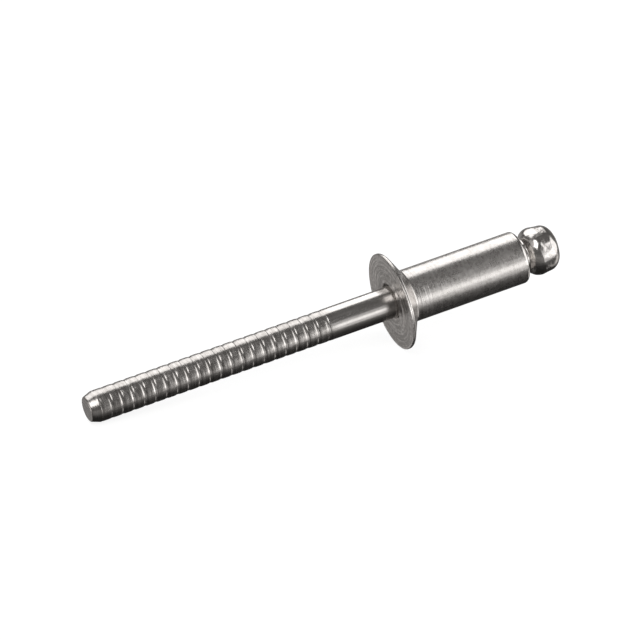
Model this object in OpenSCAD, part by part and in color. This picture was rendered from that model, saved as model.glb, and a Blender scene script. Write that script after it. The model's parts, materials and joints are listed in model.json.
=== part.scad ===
// Pop rivet: a countersunk blind rivet with its pull mandrel, lying on a flat surface
// as it comes to rest. Millimetres.
//
// Both pieces are turned forms on one axis. They are drawn as half sections, with the
// distance from the axis across and the distance along it up. Zero along the axis is the
// flat face of the flange: the pull end of the mandrel lies below zero, the sleeve above.

/* [Rivet body] */
// Outside diameter of the sleeve
sleeve_d = 5; // [4.6:0.1:6.4]
// Length of the body over all, from the flange face to the tail
body_len = 13.3; // [8:0.1:30]
// Diameter of the flange
flange_d = 9.3; // [7.5:0.1:12]
// Thickness of the flange at its rim
rim_t = 0.3; // [0.25:0.05:0.6]
// Rounding of the two edges of the rim
rim_round = 0.1; // [0.04:0.01:0.14]
// Included angle of the countersunk underside
seat_angle = 120; // [90:1:140]
// Rounding where the underside meets the sleeve
root_round = 0.2; // [0.1:0.05:0.5]
// Diameter of the raised ring of the flange face around the bore
ring_d = 5.6; // [4.6:0.1:6.4]
// Height of the raised ring above the flange face
ring_h = 0.06; // [0.02:0.01:0.15]
// Chamfer of the bore at the flange face
mouth_chamfer = 0.2; // [0.05:0.05:0.4]
// Chamfer of the bore at the tail
tail_chamfer = 0.12; // [0.05:0.01:0.3]
// Rounding of the outside edge of the tail
tail_round = 0.35; // [0.1:0.05:0.5]

/* [Mandrel] */
// Diameter of the mandrel's shank
mandrel_d = 3; // [2.4:0.1:3.4]
// Gap between the shank and the bore, on the radius
bore_gap = 0.05; // [0.02:0.01:0.1]
// Length of the mandrel in front of the flange face
pull_len = 30.95; // [20:0.05:45]
// Diameter of the flat at the tip
tip_flat_d = 2.36; // [1.6:0.02:2.4]
// Length of the tip's taper
tip_taper = 0.9; // [0.5:0.05:1.5]
// Rounding of the edge of the tip's flat
tip_round = 0.12; // [0.05:0.01:0.2]
// Rounding where the tip's taper meets the shank
tip_shoulder_round = 0.6; // [0.2:0.05:1]
// Diameter of the neck at which the mandrel breaks
break_d = 2.3; // [1.6:0.1:2.4]
// Width of the break notch at the shank's surface
break_w = 0.7; // [0.4:0.05:1.2]
// Distance of the break notch from the tail, inside the sleeve
break_depth = 1.6; // [1:0.1:3]

/* [Pull grooves] */
// Distance from groove to groove
groove_pitch = 1.1; // [0.85:0.05:1.6]
// Width of a groove at its edges
groove_w = 0.4; // [0.2:0.02:0.5]
// Depth of a groove below the land's edges
groove_depth = 0.04; // [0.03:0.01:0.12]
// Width of the worn slope on each side of a groove
slope_w = 0.14; // [0.05:0.01:0.16]
// Drop of that slope at the groove's edge
slope_drop = 0.012; // [0.008:0.002:0.04]
// Plain shank between the flange face and the nearest groove
plain_len = 6.75; // [3:0.25:12]
// Plain length between the farthest groove and the tip, at least
tip_land = 1.7; // [1.6:0.1:4]

/* [Formed head] */
// Diameter that the head's underside and taper would meet at if it had no rounding
head_d = 4.68; // [4.2:0.1:5.4]
// Diameter of the head's far end if it had no rounding
head_end_d = 4.04; // [3.4:0.02:4.3]
// Length of the head from the tail of the sleeve to its far end
head_len = 3.6; // [2.8:0.1:5]
// Length of bare shank between the tail and the head
head_gap = 0.42; // [0.1:0.02:0.8]
// Distance from the tail to the widest part of the head
belly_at = 1.15; // [1:0.05:1.5]
// Rounding of the widest part
belly_round = 1; // [0.4:0.1:1.2]
// Rounding of the far end's edge
head_end_round = 0.7; // [0.2:0.05:0.9]

/* [Hidden] */
$fn = 128;
arc_step = 10;     // degrees of a rounding to each straight of it
slack = 0.1;       // how far a cut reaches past the surface it cuts
rim_facets = 68;   // facets that a mesh gives the flange's rim at this size
shank_facets = 42; // and the shank and its tip

sleeve_r = sleeve_d / 2;
flange_r = flange_d / 2;
mandrel_r = mandrel_d / 2;
bore_r = mandrel_r + bore_gap;
rim_rounding = min(rim_round, rim_t * 0.45);
tail_rounding = min(tail_round, (sleeve_r - bore_r) * 0.6);
seat_end = rim_t + (flange_r - sleeve_r) / tan(seat_angle / 2);

tip_at = -pull_len;
head_end_at = body_len + head_len;
groove_count = floor((pull_len - plain_len - tip_land - groove_w) / groove_pitch) + 1;
groove_round = (pow(groove_w / 2, 2) + pow(groove_depth, 2)) / (2 * groove_depth);

// Half section of the body, anticlockwise, each corner as [radius, along, rounding]
body_outline = [
    [bore_r + mouth_chamfer, -ring_h, 0],
    [ring_d / 2 - ring_h, -ring_h, 0],
    [ring_d / 2, 0, 0],
    [flange_r, 0, rim_rounding],
    [flange_r, rim_t, rim_rounding],
    [sleeve_r, seat_end, root_round],
    [sleeve_r, body_len, tail_rounding],
    [bore_r + tail_chamfer, body_len, 0],
    [bore_r, body_len - tail_chamfer, 0],
    [bore_r, mouth_chamfer - ring_h, 0]
];
rim_corner = 3;

// Half section of the mandrel before its grooves are rolled, in the same form
mandrel_outline = [
    [0, tip_at, 0],
    [tip_flat_d / 2, tip_at, tip_round],
    [mandrel_r, tip_at + tip_taper, tip_shoulder_round],
    [mandrel_r, body_len + head_gap, 0],
    [head_d / 2, body_len + belly_at, belly_round],
    [head_end_d / 2, head_end_at, head_end_round],
    [0, head_end_at, 0]
];
tip_flat_corner = 1;
tip_shoulder_corner = 2;
head_end_corner = 5;

function spot(corner) = [corner[0], corner[1]];
function unit(v) = v / norm(v);
function before(outline, i) = spot(outline[(i + len(outline) - 1) % len(outline)]);
function after(outline, i) = spot(outline[(i + 1) % len(outline)]);
function half_angle(a, b, c) = acos(unit(a - b) * unit(c - b)) / 2;

// Centre of the arc that rounds the corner b between a and c
function arc_centre(a, b, c, r) =
    b + unit(unit(a - b) + unit(c - b)) * r / sin(half_angle(a, b, c));

// Centre of the rounding of one corner of an outline
function rounding_centre(outline, i) =
    arc_centre(before(outline, i), spot(outline[i]), after(outline, i), outline[i][2]);

// Points along the arc that rounds the corner b between a and c
function arc_points(a, b, c, r) =
    let (
        middle = arc_centre(a, b, c, r),
        reach = r / tan(half_angle(a, b, c)),
        from = b + unit(a - b) * reach - middle,
        to = b + unit(c - b) * reach - middle,
        start = atan2(from[1], from[0]),
        sweep = (atan2(to[1], to[0]) - start + 540) % 360 - 180,
        steps = max(2, ceil(abs(sweep) / arc_step))
    )
    [for (k = [0 : steps])
        middle + r * [cos(start + sweep * k / steps), sin(start + sweep * k / steps)]];

// The outline with its corners rounded
function rounded(outline) = [
    for (i = [0 : len(outline) - 1])
        each outline[i][2] == 0
            ? [spot(outline[i])]
            : arc_points(before(outline, i), spot(outline[i]), after(outline, i),
                         outline[i][2])
];

// The rivet lies on the flange's rim and the shoulder of the tip: the tilt is that of the
// line that touches both roundings from below
rim_centre = rounding_centre(body_outline, rim_corner);
shoulder_centre = rounding_centre(mandrel_outline, tip_shoulder_corner);
rest_gap = rim_centre - shoulder_centre;
rest_tilt = atan2(rest_gap[0], rest_gap[1])
    + asin((rim_rounding - tip_shoulder_round) / norm(rest_gap));

// The lowest point is set on the ground, and the middle of the length over the origin
rest_height = rim_centre[0] * cos(rest_tilt) + rim_rounding - rim_centre[1] * sin(rest_tilt);
tip_centre = rounding_centre(mandrel_outline, tip_flat_corner);
end_centre = rounding_centre(mandrel_outline, head_end_corner);
rest_low_x = tip_centre[1] * cos(rest_tilt) - tip_centre[0] * sin(rest_tilt) - tip_round;
rest_high_x = end_centre[1] * cos(rest_tilt) + end_centre[0] * sin(rest_tilt)
    + head_end_round;

// Lays a piece that stands on the turning axis down to rest, with the tip towards -X. Half a
// facet's turn brings the middle of a facet to the ground, where a corner would rock.
module laid(facets) {
    translate([-(rest_low_x + rest_high_x) / 2, 0, rest_height])
        rotate([0, 90 - rest_tilt, 0])
            rotate([0, 0, 180 / facets])
                children();
}

// One ring groove in section: a round bottom between two shallow worn slopes
module pull_groove() {
    edge_r = mandrel_r - slope_drop;
    reach = groove_w / 2 + slope_w;
    slope_rise = slope_drop / slope_w;
    translate([edge_r - groove_depth + groove_round, 0])
        circle(groove_round);
    polygon([
        [edge_r - slope_rise * groove_w / 2, 0],
        [mandrel_r + slack * slope_rise, reach + slack],
        [mandrel_r + slack, reach + slack],
        [mandrel_r + slack, -reach - slack],
        [mandrel_r + slack * slope_rise, -reach - slack]
    ]);
}

// The notch at which the mandrel breaks when the rivet is set, in section
module break_notch() {
    rise = (mandrel_d - break_d) / 2;
    out = slack / rise * break_w / 2;
    polygon([
        [break_d / 2, 0],
        [mandrel_r + slack, break_w / 2 + out],
        [mandrel_r + slack, -break_w / 2 - out]
    ]);
}

// Sleeve and countersunk flange, drawn from one blank
module rivet_body() {
    color("silver")
        laid(rim_facets)
            rotate_extrude()
                polygon(rounded(body_outline));
}

// Mandrel: grooved pull end, plain shank, break notch inside the sleeve and formed head
module mandrel() {
    color("gainsboro")
        laid(shank_facets)
            rotate_extrude()
                difference() {
                    polygon(rounded(mandrel_outline));
                    for (i = [0 : groove_count - 1])
                        translate([0, -plain_len - groove_w / 2 - i * groove_pitch])
                            pull_groove();
                    translate([0, body_len - break_depth])
                        break_notch();
                }
}

rivet_body();
mandrel();
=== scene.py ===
"""A pop rivet lying on a pale studio floor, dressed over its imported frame.

The rivet body and the mandrel are spun from half sections, as the real ones are turned and
headed, and stand for the frame's two solids. Lengths in the classes of the pieces and the
finishes are millimetres; the meshes and the studio are in metres. "Along" is the distance
along the rivet's axis from the flat face of the flange: the pull end of the mandrel lies
below zero, the sleeve above. "Out" is the distance from that axis.
"""
import json
import logging
import math
from dataclasses import astuple, dataclass
from enum import Enum
from typing import Any

import bmesh
import bpy
from mathutils import Matrix, Vector, noise


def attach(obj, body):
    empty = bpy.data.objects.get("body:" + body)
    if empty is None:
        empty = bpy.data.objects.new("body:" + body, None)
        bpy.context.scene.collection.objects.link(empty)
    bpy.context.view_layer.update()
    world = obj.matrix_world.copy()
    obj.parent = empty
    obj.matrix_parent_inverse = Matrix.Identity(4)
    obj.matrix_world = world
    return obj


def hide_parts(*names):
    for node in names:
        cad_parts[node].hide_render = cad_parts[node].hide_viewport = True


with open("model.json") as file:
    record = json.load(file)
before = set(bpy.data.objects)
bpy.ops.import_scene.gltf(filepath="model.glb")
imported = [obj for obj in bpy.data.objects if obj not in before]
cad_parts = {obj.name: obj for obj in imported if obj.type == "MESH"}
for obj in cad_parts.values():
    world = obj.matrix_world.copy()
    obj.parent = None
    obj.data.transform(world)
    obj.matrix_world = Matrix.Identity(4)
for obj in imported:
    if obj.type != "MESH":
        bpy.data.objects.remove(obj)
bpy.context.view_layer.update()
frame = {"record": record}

LOG = logging.getLogger("pop_rivet")
MM = 0.001
MERGE_DISTANCE = 1e-5
NOISE_SEED = 5
SENSOR_WIDTH = 36
WHITE = (1, 1, 1, 1)


@dataclass(frozen=True)
class Placement:
    """Where the rivet's axis lies: the middle of the flange face and the way to the head."""

    face_centre: Vector
    along: Vector

    @classmethod
    def from_record(cls, record: dict[str, Any]) -> "Placement":
        """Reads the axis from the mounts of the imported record.

        Args:
            record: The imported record.

        Returns:
            The placement, in metres.
        """
        mounts = {mount["name"]: mount for mount in record["mounts"]}
        along = Vector(mounts["sleeve"]["axis"]).normalized()
        on_axis = Vector(mounts["sleeve"]["pos_m"])
        face = Vector(mounts["nose_face"]["pos_m"])
        return cls(on_axis + along * (face - on_axis).dot(along), along)

    def turning(self) -> Matrix:
        """Returns the rotation from the turning frame, X up and Z along, to the row frame."""
        across = self.along.cross(Vector((0, 0, 1))).normalized()
        up = across.cross(self.along)
        return Matrix((up, self.along.cross(up), self.along)).transposed()

    def matrix(self) -> Matrix:
        """Returns the place of the turning frame in the row frame."""
        return Matrix.Translation(self.face_centre) @ self.turning().to_4x4()


class Ray(Enum):
    """Kinds of ray that the surroundings treat apart."""

    CAMERA = "Is Camera Ray"
    TRANSMISSION = "Is Transmission Ray"


class Wire:
    """One socket of a node tree. Sums on it add Math nodes, and numbers stay in Python."""

    def __init__(self, tree: "Tree", socket: bpy.types.NodeSocket) -> None:
        """Holds the socket and the tree that it belongs to."""
        self.tree = tree
        self.socket = socket

    def maths(self, operation: str, *values: "Wire | float") -> "Wire":
        """Adds one Math node.

        Args:
            operation: The node's operation.
            values: Its inputs in order.

        Returns:
            The node's result.
        """
        return self.tree.node("ShaderNodeMath", {"operation": operation},
                              dict(enumerate(values)))

    def __add__(self, other: "Wire | float") -> "Wire":
        """Returns self + other."""
        return self.maths("ADD", self, other)

    def __radd__(self, other: float) -> "Wire":
        """Returns other + self."""
        return self.maths("ADD", other, self)

    def __sub__(self, other: "Wire | float") -> "Wire":
        """Returns self - other."""
        return self.maths("SUBTRACT", self, other)

    def __rsub__(self, other: float) -> "Wire":
        """Returns other - self."""
        return self.maths("SUBTRACT", other, self)

    def __mul__(self, other: "Wire | float") -> "Wire":
        """Returns self * other."""
        return self.maths("MULTIPLY", self, other)

    def __rmul__(self, other: float) -> "Wire":
        """Returns other * self."""
        return self.maths("MULTIPLY", other, self)

    def __truediv__(self, other: "Wire | float") -> "Wire":
        """Returns self / other."""
        return self.maths("DIVIDE", self, other)

    def __pow__(self, other: float) -> "Wire":
        """Returns self ** other."""
        return self.maths("POWER", self, other)

    def grey(self) -> "Wire":
        """Returns the brightness of a colour."""
        return self.tree.node("ShaderNodeRGBToBW", {}, {"Color": self})

    def limit(self) -> "Wire":
        """Returns the value kept between 0 and 1."""
        return self.tree.node("ShaderNodeClamp", {}, {"Value": self})

    def rise(self, start: float, end: float) -> "Wire":
        """Fades smoothly from 0 at start to 1 at end.

        Args:
            start: The value that gives 0.
            end: The value that gives 1, which may be the lower of the two.

        Returns:
            The fade.
        """
        if start < end:
            low, high, first, last = start, end, 0.0, 1.0
        else:
            low, high, first, last = end, start, 1.0, 0.0
        return self.tree.node("ShaderNodeMapRange", {"interpolation_type": "SMOOTHSTEP"}, {
            "Value": self, "From Min": low, "From Max": high, "To Min": first, "To Max": last})


Feed = Wire | float | tuple[float, ...]


class Tree:
    """A node tree under construction."""

    def __init__(self, tree: bpy.types.NodeTree) -> None:
        """Empties the tree."""
        self.tree = tree
        tree.nodes.clear()

    def node(self, kind: str, settings: dict[str, Any] | None = None,
             feeds: dict[str | int, Feed] | None = None, output: str | int = 0) -> Wire:
        """Adds one node.

        Args:
            kind: The node's type.
            settings: Its settings, set first; "stops" are a ramp's (place, grey) pairs.
            feeds: Values or wires by the socket's name or number.
            output: The socket that is returned.

        Returns:
            That output.
        """
        made = self.tree.nodes.new(kind)
        for name, value in (settings or {}).items():
            if name == "stops":
                ramp = made.color_ramp
                for place, _ in value[2:]:
                    ramp.elements.new(place)
                for element, (place, grey) in zip(ramp.elements, value):
                    element.position = place
                    element.color = (grey, grey, grey, 1.0)
            else:
                setattr(made, name, value)
        for name, value in (feeds or {}).items():
            if isinstance(value, Wire):
                self.tree.links.new(value.socket, made.inputs[name])
            else:
                made.inputs[name].default_value = value
        return Wire(self, made.outputs[output] if made.outputs else made.inputs[0])

    def ray(self, kind: Ray) -> Wire:
        """Returns 1 for rays of that kind and 0 for the others."""
        return self.node("ShaderNodeLightPath", output=kind.value)


@dataclass(frozen=True)
class Lines:
    """A noise drawn out one way: its scale across and along the lines, and its own seed."""

    across: float
    along: float
    seed: float


class TurnedCoordinates:
    """Places on a turned piece, in millimetres, and the noises that follow its turning.

    Each noise is about 0.5 in the mean.
    """

    LINE_DETAIL = 2.0
    LINE_ROUGHNESS = 0.6
    GRAIN_ROUGHNESS = 0.65

    def __init__(self, tree: Tree, placement: Placement) -> None:
        """Turns the object coordinates to the rivet's axis.

        Args:
            tree: The finish's node tree.
            placement: The rivet's axis.
        """
        self.tree = tree
        back = placement.turning().transposed()
        place = tree.node("ShaderNodeTexCoord", output="Object")
        self.local = tree.node("ShaderNodeMapping", {"vector_type": "POINT"}, {
            "Vector": place,
            "Location": tuple(-(back @ placement.face_centre) / MM),
            "Rotation": tuple(back.to_euler("XYZ")),
            "Scale": (1 / MM,) * 3})
        parts = tree.node("ShaderNodeSeparateXYZ", {}, {0: self.local}).socket.node.outputs
        self.up, self.front, self.along = (Wire(tree, part) for part in parts)
        self.out = (self.up * self.up + self.front * self.front) ** 0.5

    def texture(self, place: Wire, scale: float, detail: float, roughness: float) -> Wire:
        """Adds one noise.

        Args:
            place: The coordinates that it is read at.
            scale: Its scale on them.
            detail: How many finer layers it has.
            roughness: How strong these are.

        Returns:
            The noise.
        """
        return self.tree.node("ShaderNodeTexNoise", {"noise_dimensions": "3D"}, {
            "Vector": place, "Scale": scale, "Detail": detail, "Roughness": roughness})

    def lined(self, *place: Wire) -> Wire:
        """Returns a noise at a place whose three coordinates are already scaled."""
        spot = self.tree.node("ShaderNodeCombineXYZ", {}, dict(enumerate(place)))
        return self.texture(spot, 1.0, self.LINE_DETAIL, self.LINE_ROUGHNESS)

    def ringed(self, lines: Lines) -> Wire:
        """Returns a noise drawn out round the axis, as a tool or a die leaves it."""
        return self.lined((self.along - self.out) * lines.across,
                          self.up / self.out * lines.along + lines.seed,
                          self.front / self.out * lines.along)

    def drawn(self, lines: Lines) -> Wire:
        """Returns a noise drawn out along the axis, as wire drawing leaves it."""
        return self.lined(self.up * lines.across, self.front * lines.across,
                          self.along * lines.along + lines.seed)

    def grain(self, scale: float, detail: float = 3.0) -> Wire:
        """Returns an even noise with that many grains to a millimetre."""
        return self.texture(self.local, scale, detail, self.GRAIN_ROUGHNESS)


@dataclass(frozen=True)
class Mark:
    """What one kind of mark adds to the tone, the roughness and the height in millimetres."""

    tone: float = 0.0
    roughness: float = 0.0
    height: float = 0.0


@dataclass(frozen=True)
class SteelFinish:
    """Bare stainless steel, slightly warm, between a dark and a light linear colour."""

    name: str
    light: tuple[float, float, float] = (0.76, 0.733, 0.71)
    dark: tuple[float, float, float] = (0.365, 0.346, 0.33)
    base: Mark = Mark()

    def material(self, placement: Placement) -> bpy.types.Material:
        """Builds the finish.

        Args:
            placement: The rivet's axis, which the grain follows.

        Returns:
            The material.
        """
        material = bpy.data.materials.new(self.name)
        material.use_nodes = True
        tree = Tree(material.node_tree)
        tone, roughness, height = self.summed(self.marks(TurnedCoordinates(tree, placement)))
        colour = tree.node("ShaderNodeMix", {"data_type": "RGBA"}, {
            0: tone.limit(), 6: (*self.dark, 1.0), 7: (*self.light, 1.0)}, output=2)
        bump = tree.node("ShaderNodeBump", {}, {
            "Strength": 1.0, "Distance": MM, "Height": height})
        shader = tree.node("ShaderNodeBsdfPrincipled", {}, {
            "Base Color": colour, "Metallic": 1.0, "Roughness": roughness, "Normal": bump})
        tree.node("ShaderNodeOutputMaterial", {}, {"Surface": shader})
        return material

    def summed(self, marks: list[tuple[Wire, Mark]]) -> list[Wire]:
        """Adds what all the marks give to the bare steel.

        Args:
            marks: How strong each mark is from place to place, and what it adds.

        Returns:
            The tone from dark to light, the roughness and the height in millimetres.
        """
        levels = list(astuple(self.base))
        for strength, mark in marks:
            for i, share in enumerate(astuple(mark)):
                if share:
                    levels[i] = levels[i] + strength * share
        return levels

    def marks(self, place: TurnedCoordinates) -> list[tuple[Wire, Mark]]:
        """Returns how strong each mark is from place to place, and what it adds."""
        raise NotImplementedError


@dataclass(frozen=True)
class SatinBody(SteelFinish):
    """The tumbled satin of the sleeve, and the ring marks of the flange's face, with painted
    shade on the flange's rim.

    A zone is the two places between which it fades in, along the axis or out from it.
    """

    base: Mark = Mark(tone=-0.6, roughness=0.2)
    face_zone: tuple[float, float] = (0.12, 0.02)
    dragged_zone: tuple[float, float] = (6.5, 1.5)
    tail_zone: tuple[float, float] = (12.8, 13.0)
    rim_zone: tuple[float, float] = (4.5, 4.62)
    speck_scale: float = 3.4
    blotch_scale: float = 0.9
    ring_lines: Lines = Lines(8.0, 0.7, 3.0)
    streak_lines: Lines = Lines(3.0, 0.6, 11.0)
    specks: Mark = Mark(tone=1.0, roughness=0.1, height=0.005)
    face_specks: Mark = Mark(tone=1.8, height=0.014)
    blotches: Mark = Mark(tone=0.6, roughness=0.06)
    rings: Mark = Mark(tone=0.6, height=0.003)
    face_rings: Mark = Mark(tone=3.0, height=0.05)
    streaks: Mark = Mark(height=0.006)
    dragged_streaks: Mark = Mark(tone=0.8, height=0.034)
    face_steel: Mark = Mark(tone=-2.6, roughness=0.02)
    dragged_steel: Mark = Mark(tone=-0.4)
    # Painted shade: the flange's rim is darkened a little to dim its highlight; it is also a
    # little smoother.
    rim_painted_shade_and_polish: Mark = Mark(tone=-0.1, roughness=-0.02)
    tail_steel: Mark = Mark(roughness=-0.1)

    def marks(self, place: TurnedCoordinates) -> list[tuple[Wire, Mark]]:
        """Returns how strong each mark is from place to place, and what it adds."""
        speck = place.grain(self.speck_scale)
        blotch = place.grain(self.blotch_scale)
        ring = place.ringed(self.ring_lines)
        streak = place.ringed(self.streak_lines)
        face = place.along.rise(*self.face_zone)
        dragged = place.along.rise(*self.dragged_zone)
        return [
            (speck, self.specks), (speck * face, self.face_specks),
            (blotch, self.blotches),
            (ring, self.rings), (ring * face, self.face_rings),
            (streak, self.streaks), (streak * dragged, self.dragged_streaks),
            (face, self.face_steel), (dragged, self.dragged_steel),
            # painted shade that dims the flange's rim, which is also a little smoother
            (place.out.rise(*self.rim_zone), self.rim_painted_shade_and_polish),
            (place.along.rise(*self.tail_zone), self.tail_steel),
        ]


@dataclass(frozen=True)
class WorkedMandrel(SteelFinish):
    """Drawn wire: bright on the shank, scored round on the grooves, polished on the head, with
    painted shade on the sheared end face.

    A zone is the two places along the axis between which it fades in.
    """

    base: Mark = Mark(tone=-0.05, roughness=0.17)
    rolled_zone: tuple[float, float] = (-5.8, -7.2)
    sheared_zone: tuple[float, float] = (-30.8, -30.93)
    head_zone: tuple[float, float] = (13.3, 13.6)
    blotch_scale: float = 1.2
    dent_scale: float = 2.2
    nick_scale: float = 5.0
    nick_detail: float = 2.0
    nick_levels: tuple[float, float] = (0.6, 0.75)
    draw_lines: Lines = Lines(6.0, 0.35, 1.0)
    score_lines: Lines = Lines(3.6, 0.8, 7.0)
    drawing: Mark = Mark(tone=0.6, roughness=0.06)
    shank_drawing: Mark = Mark(height=0.0015)
    sheared_drawing: Mark = Mark(height=0.03)
    blotches: Mark = Mark(tone=0.5)
    scores: Mark = Mark(tone=1.3, roughness=0.12)
    score_depth: Mark = Mark(height=0.015)
    nicks: Mark = Mark(height=0.004)
    dents: Mark = Mark(roughness=0.1, height=0.035)
    rolled_steel: Mark = Mark(tone=-0.92)
    # Painted shade: darkens the sheared end face of the tip; its sheared texture is the bump of
    # sheared_drawing.
    sheared_end_painted_shade: Mark = Mark(tone=-0.2)
    head_steel: Mark = Mark(roughness=-0.08)

    def marks(self, place: TurnedCoordinates) -> list[tuple[Wire, Mark]]:
        """Returns how strong each mark is from place to place, and what it adds."""
        drawn = place.drawn(self.draw_lines)
        rolled = place.along.rise(*self.rolled_zone)
        sheared = place.along.rise(*self.sheared_zone)
        head = place.along.rise(*self.head_zone)
        score = place.ringed(self.score_lines) * rolled
        nick = place.grain(self.nick_scale, self.nick_detail).rise(*self.nick_levels)
        return [
            (drawn, self.drawing), (drawn * (1 - head), self.shank_drawing),
            (drawn * sheared, self.sheared_drawing),
            (place.grain(self.blotch_scale), self.blotches),
            (score, self.scores), (score * (1 - sheared), self.score_depth),
            (nick * rolled, self.nicks),
            (place.grain(self.dent_scale) * head, self.dents),
            # painted shade that darkens the sheared end face
            (rolled, self.rolled_steel), (sheared, self.sheared_end_painted_shade),
            (head, self.head_steel),
        ]


@dataclass(frozen=True)
class Lumps:
    """Soft unevenness of a form: its scale, its depth in millimetres and its own offset."""

    scale: float
    depth: float
    offset: tuple[float, float, float]

    def push(self, spot: Vector) -> Vector:
        """Returns how far a spot is moved, both in millimetres."""
        return noise.noise_vector(spot * self.scale + Vector(self.offset)) * self.depth


@dataclass(frozen=True)
class Corner:
    """A corner of a half section: its place, how far back its rounding starts, its steps."""

    out: float
    along: float
    cut: float = 0.0
    steps: int = 4


@dataclass
class TurnedPiece:
    """A piece spun from a half section about the rivet's axis."""

    placement: Placement
    finish: SteelFinish
    name: str = ""
    node: str = ""
    slot: str = ""
    turns: int = 128
    hold: float = 0.03
    closed: bool = False

    def outline(self) -> list[Corner]:
        """Returns the half section's corners in order."""
        raise NotImplementedError

    def unevenness(self, spot: Vector) -> Vector:
        """Returns how far a spot of the turned form is moved, both in millimetres."""
        raise NotImplementedError

    def held(self) -> list[Corner]:
        """Returns the corners with points beside each rounding, which hold its shading."""
        corners = self.outline()
        count = len(corners)
        held = []
        for i, corner in enumerate(corners):
            for step in (-1, 0, 1):
                if step == 0:
                    held.append(corner)
                    continue
                if not self.closed and not 0 <= i + step < count:
                    continue
                other = corners[(i + step) % count]
                length = math.dist((corner.out, corner.along), (other.out, other.along))
                back = corner.cut + self.hold
                if length > back + other.cut + 2 * self.hold:
                    part = back / length
                    held.append(Corner(corner.out + (other.out - corner.out) * part,
                                       corner.along + (other.along - corner.along) * part))
        return held

    def spun(self) -> bmesh.types.BMesh:
        """Draws the half section, rounds its corners and spins it.

        Returns:
            The closed form in the turning frame, in millimetres.
        """
        shape = bmesh.new()
        corners = self.held()
        spots = [shape.verts.new((c.out, 0, c.along)) for c in corners]
        for one, other in zip(spots, spots[1:]):
            shape.edges.new((one, other))
        if self.closed:
            shape.edges.new((spots[-1], spots[0]))
        for spot, corner in zip(spots, corners):
            if corner.cut:
                bmesh.ops.bevel(shape, geom=[spot], offset=corner.cut, offset_type="OFFSET",
                                segments=corner.steps, profile=0.5, affect="VERTICES",
                                material=-1)
        bmesh.ops.spin(shape, geom=shape.verts[:] + shape.edges[:], cent=(0, 0, 0),
                       axis=(0, 0, 1), angle=math.tau, steps=self.turns, use_merge=True)
        bmesh.ops.remove_doubles(shape, verts=shape.verts, dist=MERGE_DISTANCE)
        bmesh.ops.recalc_face_normals(shape, faces=shape.faces)
        return shape

    def build(self) -> bpy.types.Object:
        """Returns:
            The piece's object.
        """
        shape = self.spun()
        for vertex in shape.verts:
            vertex.co += self.unevenness(vertex.co.copy())
        for face in shape.faces:
            face.smooth = True
        bmesh.ops.transform(shape, verts=shape.verts,
                            matrix=self.placement.matrix() @ Matrix.Scale(MM, 4))
        mesh = bpy.data.meshes.new(self.name)
        shape.to_mesh(mesh)
        shape.free()
        piece = bpy.data.objects.new(self.name, mesh)
        bpy.context.scene.collection.objects.link(piece)
        mesh.materials.append(self.finish.material(self.placement))
        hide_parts(self.node)
        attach(piece, "root")
        LOG.info("%s: %d faces", self.name, len(mesh.polygons))
        return piece


@dataclass
class RivetBody(TurnedPiece):
    """Sleeve and countersunk flange, with the bore that the mandrel runs through."""

    name: str = "formed_body"
    node: str = "rivet_body"
    slot: str = "body_steel"
    closed: bool = True
    sleeve_r: float = 2.5
    bore_r: float = 1.55
    length: float = 13.3
    flange_r: float = 4.65
    rim: float = 0.3
    seat_end: float = 1.5413
    ring_r: float = 2.8
    ring_h: float = 0.06
    mouth_chamfer: float = 0.3
    tail_chamfer: float = 0.12
    face_slack: float = 0.001
    die_mark_depth: float = 0.02
    die_mark_across: float = 5.0
    die_mark_along: float = 1.2
    marked_past_bore: float = 0.35
    marked_short_of_rim: float = 0.13
    point_margin: float = 0.15
    point_pitch: float = 0.05
    point_count: int = 34

    def unevenness(self, spot: Vector) -> Vector:
        """Returns the ring marks that the die leaves on the flange's face."""
        out = math.hypot(spot.x, spot.y)
        if (spot.z > self.face_slack or out <= self.bore_r + self.marked_past_bore
                or out >= self.flange_r - self.marked_short_of_rim):
            return Vector()
        mark = noise.noise(Vector((out * self.die_mark_across,
                                   spot.x / out * self.die_mark_along,
                                   spot.y / out * self.die_mark_along)))
        return Vector((0, 0, self.die_mark_depth * (1 + mark)))

    def outline(self) -> list[Corner]:
        """Returns the half section's corners in order, with points on the face for marks."""
        points = [self.ring_r + self.point_margin + self.point_pitch * i
                  for i in range(self.point_count)]
        return [
            Corner(self.bore_r + self.mouth_chamfer, -self.ring_h, 0.05, 3),
            Corner(self.ring_r - self.ring_h * 2, -self.ring_h, 0.04, 2),
            Corner(self.ring_r, 0, 0.04, 2),
            *(Corner(out, 0) for out in points if out < self.flange_r - self.point_margin),
            Corner(self.flange_r, 0, 0.1, 6),
            Corner(self.flange_r, self.rim, 0.1, 6),
            Corner(self.sleeve_r, self.seat_end, 0.12, 6),
            Corner(self.sleeve_r, self.length, 0.35, 8),
            Corner(self.bore_r + self.tail_chamfer, self.length, 0.03, 2),
            Corner(self.bore_r, self.length - self.tail_chamfer, 0.03, 2),
            Corner(self.bore_r, self.mouth_chamfer - self.ring_h, 0.05, 3),
        ]


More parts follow.
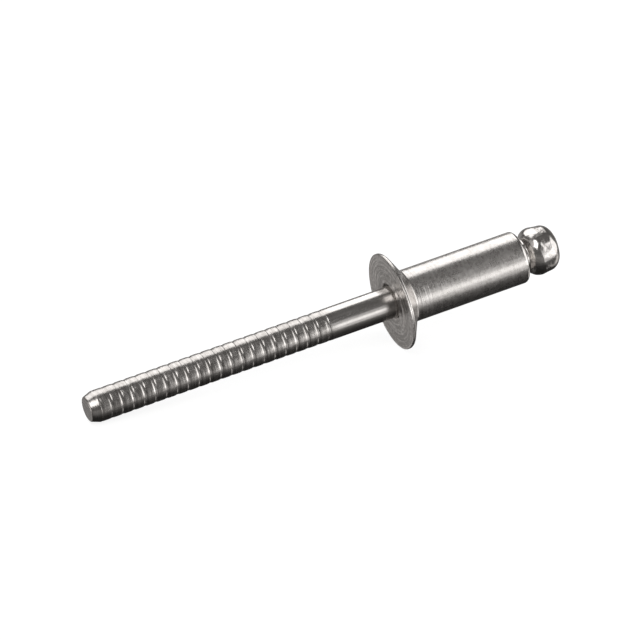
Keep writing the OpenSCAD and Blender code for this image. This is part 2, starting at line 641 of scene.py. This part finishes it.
@dataclass
class Mandrel(TurnedPiece):
    """Grooved pull end, plain shank, hidden break notch and formed head.

    Each corner of the ridge on the tip's shoulder is given as its distance below the shank
    and past the taper's end, then its cut and steps. The belly and the side of the head are
    given as their distance from the axis and from the tail of the sleeve.
    """

    name: str = "pulled_mandrel"
    node: str = "mandrel"
    slot: str = "mandrel_steel"
    shank_r: float = 1.5
    pull_length: float = 30.95
    tip_r: float = 1.18
    tip_taper: float = 0.9
    ridge: tuple[tuple[float, float, float, int], ...] = (
        (0.004, -0.02, 0.05, 4), (0.02, 0.08, 0.03, 3), (0.0, 0.3, 0.03, 3))
    grooves: int = 21
    pitch: float = 1.1
    plain_length: float = 6.75
    groove_half: float = 0.2
    slope: float = 0.14
    slope_drop: float = 0.007
    groove_depth: float = 0.034
    long_flank: float = 0.125
    short_flank: float = 0.06
    end_groove_wear: float = 0.6
    body_length: float = 13.3
    notch_back: float = 1.6
    notch_half: float = 0.35
    notch_r: float = 1.15
    neck_length: float = 0.42
    belly: tuple[float, float] = (2.34, 1.15)
    side: tuple[float, float] = (2.25, 2.15)
    end_r: float = 2.02
    head_length: float = 3.54
    lumps_from: float = 0.55
    lumps_rise: float = 0.4
    big_lumps: Lumps = Lumps(0.8, 0.05, (3.1, 0.4, 7.7))
    small_lumps: Lumps = Lumps(2.3, 0.012, (1.7, 5.2, 0.3))

    def groove(self, middle: float, wear: float) -> list[Corner]:
        """The corners of one ring groove: a long flank on the tip's side, a short one opposite.

        Args:
            middle: Where the groove's middle lies along the axis.
            wear: How much of the full depth it has.

        Returns:
            Its corners, from the tip's side on.
        """
        edge = self.shank_r - self.slope_drop * wear
        bottom = edge - self.groove_depth * wear
        reach = self.groove_half + self.slope
        return [
            Corner(self.shank_r, middle - reach, 0.03, 2),
            Corner(edge, middle - self.groove_half, 0.015, 2),
            Corner(bottom, middle - self.groove_half + self.long_flank, 0.015, 2),
            Corner(bottom, middle + self.groove_half - self.short_flank, 0.01, 2),
            Corner(edge, middle + self.groove_half, 0.01, 2),
            Corner(self.shank_r, middle + reach, 0.03, 2),
        ]

    def unevenness(self, spot: Vector) -> Vector:
        """Returns the lumps that the heading die leaves on the formed head."""
        part = (spot.z - self.body_length - self.lumps_from) / self.lumps_rise
        if part <= 0:
            return Vector()
        return min(part, 1.0) * (self.big_lumps.push(spot) + self.small_lumps.push(spot))

    def outline(self) -> list[Corner]:
        """Returns the half section's corners in order."""
        tip = -self.pull_length
        taper_end = tip + self.tip_taper
        tail = self.body_length
        notch = tail - self.notch_back
        first = -self.plain_length - self.groove_half
        ridge = [Corner(self.shank_r - drop, taper_end + past, cut, steps)
                 for drop, past, cut, steps in self.ridge]
        corners = [Corner(0, tip), Corner(self.tip_r, tip, 0.12, 6), *ridge]
        for i in reversed(range(self.grooves)):
            wear = self.end_groove_wear if i in (0, self.grooves - 1) else 1.0
            corners += self.groove(first - i * self.pitch, wear)
        return corners + [
            Corner(self.shank_r, notch - self.notch_half),
            Corner(self.notch_r, notch),
            Corner(self.shank_r, notch + self.notch_half),
            Corner(self.shank_r, tail + self.neck_length, 0.05, 3),
            Corner(self.belly[0], tail + self.belly[1], 0.55, 10),
            Corner(self.side[0], tail + self.side[1], 0.45, 6),
            Corner(self.end_r, tail + self.head_length, 0.88, 12),
            Corner(0, tail + self.head_length),
        ]


@dataclass(frozen=True)
class SoftBox:
    """An area lamp. Its direction is seen from the rivet, in degrees, azimuth from +X."""

    name: str
    azimuth: float
    elevation: float
    distance: float
    width: float
    height: float
    radiance: float

    def build(self, middle: Vector) -> None:
        """Makes the lamp.

        Args:
            middle: The point that it is turned to.
        """
        turn, lift = math.radians(self.azimuth), math.radians(self.elevation)
        way = Vector((math.cos(lift) * math.cos(turn), math.cos(lift) * math.sin(turn),
                      math.sin(lift)))
        lamp = bpy.data.lights.new(self.name, "AREA")
        lamp.shape = "RECTANGLE"
        lamp.size, lamp.size_y = self.width, self.height
        lamp.energy = self.radiance * math.pi * self.width * self.height
        holder = bpy.data.objects.new(self.name, lamp)
        holder.location = middle + way * self.distance
        holder.rotation_euler = way.to_track_quat("Z", "Y").to_euler()
        holder.visible_camera = False
        bpy.context.scene.collection.objects.link(holder)


@dataclass(frozen=True)
class Patch:
    """A pale side of the room: the way to its middle, its reach in degrees and its tone."""

    way: tuple[float, float, float]
    inner: float
    outer: float
    tone: float

    def level(self, tree: Tree, way: Wire) -> Wire:
        """Its light in one direction.

        Args:
            tree: The world's tree.
            way: The direction.

        Returns:
            The light.
        """
        nearness = tree.node("ShaderNodeVectorMath", {"operation": "DOT_PRODUCT"}, {
            0: way, 1: tuple(Vector(self.way).normalized())}, output="Value")
        return self.tone * nearness.rise(math.cos(math.radians(self.outer)),
                                         math.cos(math.radians(self.inner)))


@dataclass
class Studio:
    """A pale floor, soft boxes round it and a camera with a long lens.

    The table's pairs are the height of a direction, from straight down at 0 to level at 1,
    and its tone. The camera's aim is in millimetres from the middle of the flange face.
    """

    placement: Placement
    azimuth: float = 25.5
    elevation: float = 32.4
    distance: float = 0.7
    field: float = 0.0589
    aim_along: float = -7.06
    aim_across: float = 0.61
    nearest: float = 0.01
    farthest: float = 20
    floor_reach: float = 2.0
    floor_paint: tuple[float, float, float, float] = (0.9, 0.9, 0.9, 1)
    floor_glow: float = 1.16
    paleness: float = 0.75
    room_tint: tuple[float, float, float, float] = (1, 0.98, 0.965, 1)
    table: tuple[tuple[float, float], ...] = (
        (0.0, 0.02), (0.15, 0.03), (0.28, 0.06), (0.46, 0.15), (0.66, 0.22), (0.86, 0.28),
        (0.98, 0.3), (1.0, 0.14))
    patches: tuple[Patch, ...] = (
        Patch((0.78, -0.12, -0.6), 10, 22, 0.7),
        Patch((-0.55, 0.4, -0.72), 8, 26, 0.4),
        Patch((-0.96, 0.17, -0.2), 6, 18, 3.0),
        Patch((-0.83, -0.05, 0.55), 8, 26, 0.5),
        Patch((-0.245, 0.762, -0.5), 8, 30, 0.2),
    )
    boxes: tuple[SoftBox, ...] = (
        SoftBox("back_box", 91, 40, 0.5, 0.57, 0.50, 1.9),
        SoftBox("right_box", -24, 18, 0.5, 0.54, 0.62, 1.6),
        SoftBox("left_box", 222, 54, 0.5, 0.28, 0.36, 3.0),
        SoftBox("front_strip", -61, 4, 0.12, 0.068, 0.036, 1.2),
        SoftBox("front_glow", -61, 3.5, 0.13, 0.085, 0.13, 0.58),
    )

    def camera(self) -> None:
        """Makes the camera and aims it past the middle of the mandrel."""
        turn, lift = math.radians(self.azimuth), math.radians(self.elevation)
        back = Vector((-math.cos(lift) * math.sin(turn), -math.cos(lift) * math.cos(turn),
                       math.sin(lift)))
        right = Vector((math.cos(turn), -math.sin(turn), 0))
        top = right.cross(-back)
        along = self.placement.along
        flat = Vector((along.dot(right), along.dot(top))).normalized()
        across = right * -flat.y + top * flat.x
        aim = (self.placement.face_centre + along * self.aim_along * MM
               + across * self.aim_across * MM)
        lens = bpy.data.cameras.new("camera")
        lens.sensor_width = SENSOR_WIDTH
        lens.lens = SENSOR_WIDTH * self.distance / self.field
        lens.clip_start, lens.clip_end = self.nearest, self.farthest
        holder = bpy.data.objects.new("camera", lens)
        holder.location = aim + back * self.distance
        holder.rotation_euler = back.to_track_quat("Z", "Y").to_euler()
        bpy.context.scene.collection.objects.link(holder)
        bpy.context.scene.camera = holder

    def floor(self) -> None:
        """Makes the floor: white to the camera under a soft shadow, unseen by the steel."""
        shape = bmesh.new()
        bmesh.ops.create_grid(shape, x_segments=1, y_segments=1, size=self.floor_reach)
        mesh = bpy.data.meshes.new("floor")
        shape.to_mesh(mesh)
        shape.free()
        floor = bpy.data.objects.new("floor", mesh)
        bpy.context.scene.collection.objects.link(floor)
        material = bpy.data.materials.new("pale_floor")
        material.use_nodes = True
        material.cycles.emission_sampling = "NONE"
        tree = Tree(material.node_tree)
        seen = (tree.ray(Ray.CAMERA) * self.paleness + tree.ray(Ray.TRANSMISSION)).limit()
        paint = tree.node("ShaderNodeBsdfDiffuse", {}, {"Color": self.floor_paint})
        glow = tree.node("ShaderNodeEmission", {}, {"Color": WHITE, "Strength": self.floor_glow})
        mixed = tree.node("ShaderNodeMixShader", {}, {0: seen, 1: paint, 2: glow})
        tree.node("ShaderNodeOutputMaterial", {}, {"Surface": mixed})
        mesh.materials.append(material)
        floor.visible_glossy = False
        floor.visible_shadow = False

    def room(self) -> None:
        """Makes the world: white to the camera, and a room with dim and pale sides.

        Under the horizon it is what the steel shows of the table: pale far out and at the
        right, dark straight below.
        """
        world = bpy.data.worlds.new("room")
        bpy.context.scene.world = world
        world.use_nodes = True
        tree = Tree(world.node_tree)
        way = tree.node("ShaderNodeTexCoord", output="Generated")
        lift = tree.node("ShaderNodeSeparateXYZ", {}, {0: way}, output=2)
        level = tree.node("ShaderNodeValToRGB", {"stops": self.table}, {0: lift + 1}).grey()
        for patch in self.patches:
            level = level + patch.level(tree, way)
        seen = (tree.ray(Ray.CAMERA) + tree.ray(Ray.TRANSMISSION)).limit()
        glow = tree.node("ShaderNodeBackground", {}, {
            "Color": self.room_tint, "Strength": level * (1 - seen) + seen})
        tree.node("ShaderNodeOutputWorld", {}, {"Surface": glow})

    def build(self) -> None:
        """Makes the whole studio."""
        self.camera()
        self.floor()
        self.room()
        for box in self.boxes:
            box.build(self.placement.face_centre)
        LOG.info("studio: %d soft boxes", len(self.boxes))


def main() -> None:
    """Builds the rivet's pieces in order, then the studio."""
    logging.basicConfig(level=logging.INFO, format="%(name)s: %(message)s")
    noise.seed_set(NOISE_SEED)
    placement = Placement.from_record(frame["record"])
    RivetBody(placement, SatinBody("satin_steel")).build()
    Mandrel(placement, WorkedMandrel("worked_steel")).build()
    Studio(placement).build()
    bpy.context.scene.view_settings.view_transform = "Standard"


if __name__ == "__main__":
    main()
